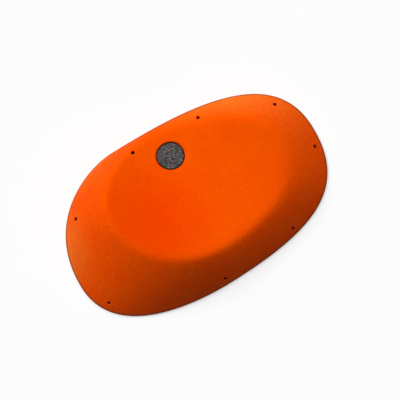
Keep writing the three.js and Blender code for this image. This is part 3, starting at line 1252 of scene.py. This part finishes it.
@dataclass
class HoldShell:
    """The cast shell: a dished face, a flat rim land and a hollow, ribbed back."""

    form: HoldForm
    screws: ScrewRow
    badge: Badge
    wall: float = 9.0
    rim_width: float = 24.0
    rim_face_steepness: float = 5.0
    hollow_corner: float = 2.0
    ceiling_slope_step: float = 8.0
    rib_foot: float = 7.0
    rib_setback: float = 2.0
    rib_draft_share: float = 0.04
    rib_round: float = 1.2
    rib_round_steps: int = 4
    long_rib_share: float = 0.04
    cross_rib_shares: tuple[float, ...] = (-0.19, 0.17)
    land_round: float = 0.8
    land_setback: float = 0.24
    overrun: float = 6.0
    steps: int = 60
    dish_rings: int = 26
    ridge_rings: int = 20
    wall_rings: int = 14
    ridge_band_share: float = 0.45
    hollow_rings: int = 24
    hollow_span_share: float = 0.94
    hollow_crowding: float = 1.8
    dish_fade: float = 12.0
    outer_depth: float = 3.5
    bore_start: float = 1.2
    pocket_start: float = 6.0
    bore_margin: float = 0.1
    crease: float = 24.0

    def rays(self) -> list[Ray]:
        """Rays from the ridge's centre through the outline's points.

        Returns:
            The rays, counter-clockwise.
        """
        found = []
        for point in self.form.outline(self.steps):
            offset = point - self.form.centre
            found.append(self.form.ray(offset.normalized(), offset.length))
        return found

    def ring(self, rays: list[Ray], reaches: list[float], height: Height) -> Ring:
        """One ring of points round the ridge's centre.

        Args:
            rays: The rays that the ring crosses.
            reaches: How far out the ring lies on each ray.
            height: How high it lies at a distance along a ray.

        Returns:
            The ring's points.
        """
        ring = []
        for ray, reach in zip(rays, reaches):
            point = self.form.centre + ray.direction * reach
            ring.append(Vector((point.x, point.y, height(ray, reach))))
        return ring

    def face_reaches(self, ray: Ray) -> list[float]:
        """Distances of the face's rings on a ray, closest together at the ridge.

        Args:
            ray: A ray from the ridge's centre.

        Returns:
            The distances, from the centre out.
        """
        band = self.ridge_band_share * (ray.outline - ray.ridge)
        inner, outer = ray.ridge - band, ray.ridge + band
        return [
            *spread(0, inner, self.dish_rings),
            *spread(inner, outer, self.ridge_rings),
            *spread(outer, ray.outline, self.wall_rings)[:-1],
        ]

    def block(self) -> Object:
        """Solid block under the face, with the corner over the base land rounded.

        Returns:
            The closed block.
        """
        rays = self.rays()
        land = self.form.base_land
        edge = [ray.outline for ray in rays]
        inside_edge = [reach - self.land_setback for reach in edge]
        rings = [
            self.ring(rays, edge, flat(0)),
            self.ring(rays, edge, flat(land - self.land_round)),
            self.ring(rays, inside_edge, flat(land)),
        ]
        outwards = zip(*(self.face_reaches(ray) for ray in rays))
        for reaches in reversed(list(outwards)):
            rings.append(self.ring(rays, reaches, self.form.height_on))
        centre = self.form.centre
        tip = Vector((centre.x, centre.y, self.form.height(centre.x, centre.y)))
        return ringed(rings, tip, "climbing_hold_shell")

    def ceiling(self, x: float, y: float) -> float:
        """Height of the hollow's ceiling: the face, less the wall's thickness across it."""
        slope = self.form.slope(x, y, self.ceiling_slope_step)
        return self.form.height(x, y) - self.wall * math.hypot(1, slope.x, slope.y)

    def hollow(self) -> Object:
        """Tool for the hollow back, inside the rim land.

        Returns:
            The closed tool.
        """
        line = self.form.outline(self.form.fine_steps)
        inset = []
        for index, point in enumerate(line):
            inside = inward(line[index - 1], line[(index + 1) % len(line)])
            inset.append(point + inside * self.rim_width)
        rim = ClosedLine(inset, self.form.centre)

        def height(ray: Ray, distance: float) -> float:
            """Height of the hollow, rounded into the rim's face.

            Args:
                ray: A ray from the ridge's centre.
                distance: Distance along it.

            Returns:
                The height over the back plane.
            """
            point = self.form.centre + ray.direction * distance
            face = self.rim_face_steepness * (rim.reach(ray.direction) - distance)
            rounded = smooth_min(self.ceiling(point.x, point.y), face, self.hollow_corner)
            return max(rounded, -self.overrun / 2)

        rays = self.rays()
        edge = [rim.reach(ray.direction) for ray in rays]
        rings = [self.ring(rays, edge, flat(-self.overrun)), self.ring(rays, edge, flat(0))]
        for part in spread(0, 1, self.hollow_rings):
            share = self.hollow_span_share * part**self.hollow_crowding
            rings.append(self.ring(rays, [reach * (1 - share) for reach in edge], height))
        centre = self.form.centre
        tip = Vector((centre.x, centre.y, self.ceiling(centre.x, centre.y)))
        return ringed(rings, tip, "hollow_cutter")

    def rib(self, run: float, height: float, matrix: Matrix, name: str) -> Object:
        """Rib across the hollow: thinner at its foot, and rounded there.

        Args:
            run: Its length.
            height: How far it reaches into the shell.
            matrix: Where it stands, with its run along X.
            name: The object's name.

        Returns:
            The rib's closed shape.
        """
        root = self.rib_foot + 2 * self.rib_draft_share * height
        middle = 1 / 2
        shape = bmesh.new()
        bmesh.ops.create_cube(shape, size=1)
        bmesh.ops.translate(shape, vec=(0, 0, middle), verts=shape.verts)
        foot_edges = []
        for edge in shape.edges:
            start, end = (vertex.co for vertex in edge.verts)
            if max(start.z, end.z) < middle and start.y == end.y:
                foot_edges.append(edge)
        for vertex in shape.verts:
            x, y, z = vertex.co
            thickness = root if z > middle else self.rib_foot
            vertex.co = (x * run, y * thickness, z * height + self.rib_setback)
        bmesh.ops.bevel(
            shape,
            geom=foot_edges,
            offset=self.rib_round,
            segments=self.rib_round_steps,
            profile=0.5,
            affect="EDGES",
            material=-1,
        )
        return to_object(shape, name, matrix)

    def ribs(self, height: float) -> list[Object]:
        """The long rib and the two that cross it.

        Args:
            height: How far they reach into the shell.

        Returns:
            The three ribs.
        """
        length, width = self.form.length, self.form.width
        along = Matrix.Translation((0, self.long_rib_share * width, 0))
        made = [self.rib(length, height, along, "long_rib")]
        for number, share in enumerate(self.cross_rib_shares, start=1):
            across = Matrix.Translation((share * length, 0, 0)) @ Matrix.Rotation(math.pi / 2, 4, "Z")
            made.append(self.rib(width, height, across, f"cross_rib_{number}"))
        return made

    def mark_face(self, shell: Object) -> None:
        """Stores at each point how far it lies in the dish and down the wall, and if it lies outside.

        Args:
            shell: The cut shell, in millimetres.
        """
        marks = {Mark.DISH: [], Mark.DOWN_WALL: [], Mark.OUTER: []}
        for vertex in shell.data.vertices:
            ray, distance = self.form.ray_through(vertex.co.x, vertex.co.y)
            past_ridge = distance - ray.ridge
            under_face = self.form.height_on(ray, distance) - vertex.co.z
            marks[Mark.DISH].append(clamped((self.dish_fade - past_ridge) / (2 * self.dish_fade)))
            marks[Mark.DOWN_WALL].append(clamped(past_ridge / (ray.outline - ray.ridge)))
            marks[Mark.OUTER].append(float(under_face < self.outer_depth))
        # The finish reads these marks for its painted bounce light in the dish, its painted sheen down the
        # walls and its painted shade over the foot
        for mark, numbers in marks.items():
            store(shell.data, mark, Domain.POINT, numbers)

    def in_bore(self, point: Vector, frames: list[Matrix]) -> bool:
        """Tells whether a point lies down a bore or in a washer's pocket.

        Args:
            point: The point.
            frames: What brings a point into each bore's frame.

        Returns:
            True if it lies in one of them.
        """
        screws = self.screws
        bore_radius = screws.bore_radius + self.bore_margin
        pocket_radius = screws.washer_radius + screws.clearance + self.bore_margin
        pocket_end = screws.washer_depth + screws.washer_thickness + screws.clearance + self.bore_margin
        for frame in frames:
            local = frame @ point
            away = math.hypot(local.x, local.y)
            if away < bore_radius and local.z < -self.bore_start:
                return True
            if away < pocket_radius and -pocket_end < local.z < -self.pocket_start:
                return True
        return False

    def mark_bores(self, shell: Object, spots: list[ScrewPlace]) -> None:
        """Stores at each face corner whether it lies down a bore, on a face that does too.

        Args:
            shell: The cut shell, in millimetres.
            spots: Where the bores are.
        """
        mesh = shell.data
        frames = [spot.matrix.inverted() for spot in spots]
        numbers = [0.0] * len(mesh.loops)
        for polygon in mesh.polygons:
            if not self.in_bore(polygon.center, frames):
                continue
            for corner in polygon.loop_indices:
                point = mesh.vertices[mesh.loops[corner].vertex_index].co
                numbers[corner] = float(self.in_bore(point, frames))
        # The finish paints shade down the bores where this mark is 1
        store(mesh, Mark.BORE, Domain.CORNER, numbers)

    def build(self, finish: Material) -> None:
        """Makes the shell: the block, less its hollow, bores, pockets and recess.

        Args:
            finish: Its material.
        """
        block = self.block()
        tallest = max(vertex.co.z for vertex in block.data.vertices)
        spots = self.screws.places()
        kept = self.ribs(tallest)
        kept += [self.screws.boss(spot, f"boss_{number}") for number, spot in enumerate(spots)]
        kept.append(self.badge.seat(self.wall))
        hollow = self.hollow()
        cut(hollow, kept)
        cutters = [self.screws.bore_cutter(spot, f"bore_{number}") for number, spot in enumerate(spots)]
        cut(block, [hollow, *cutters, self.badge.recess_cutter()])
        self.mark_face(block)
        self.mark_bores(block, spots)
        finish_mesh(block, self.crease)
        place(block, finish, ["hold_shell"], "cast_orange")


# Studio


@dataclass(frozen=True)
class Softbox:
    """A broad soft lamp, by where it stands and how strongly it lights a surface square to it.

    It lights the whole floor alike, as a lamp far away does, so only the width that it seems to have is
    given. Its distance is just where its object stands. Its angles are in degrees.
    """

    name: str
    bearing: float
    elevation: float
    level: float
    apparent_width: float
    distance: float = 4.5

    def build(self) -> None:
        """Hangs the lamp, turned towards the hold."""
        data = bpy.data.lights.new(self.name, "SUN")
        data.angle = math.radians(self.apparent_width)
        # A sun of strength pi shows a white surface square to it as white
        data.energy = self.level * math.pi
        lamp = bpy.data.objects.new(self.name, data)
        bearing, elevation = math.radians(self.bearing), math.radians(self.elevation)
        level_share = math.cos(elevation)
        toward = Vector(
            (
                level_share * math.cos(bearing),
                level_share * math.sin(bearing),
                math.sin(elevation),
            )
        )
        lamp.location = toward * self.distance
        lamp.rotation_euler = toward.to_track_quat("Z", "Y").to_euler()
        bpy.context.scene.collection.objects.link(lamp)


@dataclass
class Studio:
    """White paper floor, two soft lamps beyond the picture's top left and top, and a camera above."""

    paper: StudioPaperFinish = StudioPaperFinish()
    floor_size: float = 9.0
    floor_gap: float = 0.0002
    camera_x: float = 0.0101
    camera_y: float = -0.0001
    camera_height: float = 1.5
    sensor_width: float = 36.0
    field_of_view: float = 0.641
    turn: float = math.radians(-32)
    lamps: tuple[Softbox, ...] = (
        Softbox("left_softbox", bearing=113, elevation=40, level=0.745, apparent_width=27),
        Softbox("top_softbox", bearing=43, elevation=51, level=0.472, apparent_width=40),
    )
    sky_level: float = 0.015

    def floor(self) -> None:
        """Lays the floor just under the hold's back."""
        shape = bmesh.new()
        bmesh.ops.create_grid(shape, x_segments=1, y_segments=1, size=self.floor_size / 2)
        piece = to_object(shape, "studio_floor", Matrix.Translation((0, 0, -self.floor_gap)))
        piece.data.materials.append(self.paper.build())

    def camera(self) -> None:
        """Sets the camera straight above, turned as the picture is."""
        data = bpy.data.cameras.new("overhead_camera")
        data.sensor_width = self.sensor_width
        data.lens = self.sensor_width * self.camera_height / self.field_of_view
        camera = bpy.data.objects.new("overhead_camera", data)
        camera.location = (self.camera_x, self.camera_y, self.camera_height)
        camera.rotation_euler = (0, 0, self.turn)
        bpy.context.scene.collection.objects.link(camera)
        bpy.context.scene.camera = camera

    def sky(self) -> None:
        """Fills the room with faint even light, and shows it white."""
        world = bpy.data.worlds.new("studio_room")
        bpy.context.scene.world = world
        world.use_nodes = True
        tree = world.node_tree
        background = tree.nodes["Background"]
        background.inputs["Color"].default_value = (*WHITE, 1.0)
        level = tree.nodes.new("ShaderNodeMapRange")
        level.inputs["To Min"].default_value = self.sky_level
        tree.links.new(shown(tree), level.inputs["Value"])
        tree.links.new(level.outputs["Result"], background.inputs["Strength"])

    def build(self) -> None:
        """Sets up the floor, camera, lamps and room."""
        self.floor()
        self.camera()
        for lamp in self.lamps:
            lamp.build()
        self.sky()
        bpy.context.scene.view_settings.view_transform = "Standard"


def main() -> None:
    """Builds the hold around its frame, and the studio that it lies in."""
    logging.basicConfig(level=logging.INFO, format="%(name)s: %(message)s")
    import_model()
    form = HoldForm()
    screws = ScrewRow(form)
    badge = Badge(form)
    HoldShell(form, screws, badge).build(CastOrangeFinish().build())
    badge.build_badge(BadgeGreyFinish().build())
    badge.build_pad(PadBlackFinish().build())
    screws.build_washers(WasherSteelFinish().build())
    Studio().build()
    LOG.info("sizes written")


if __name__ == "__main__":
    main()
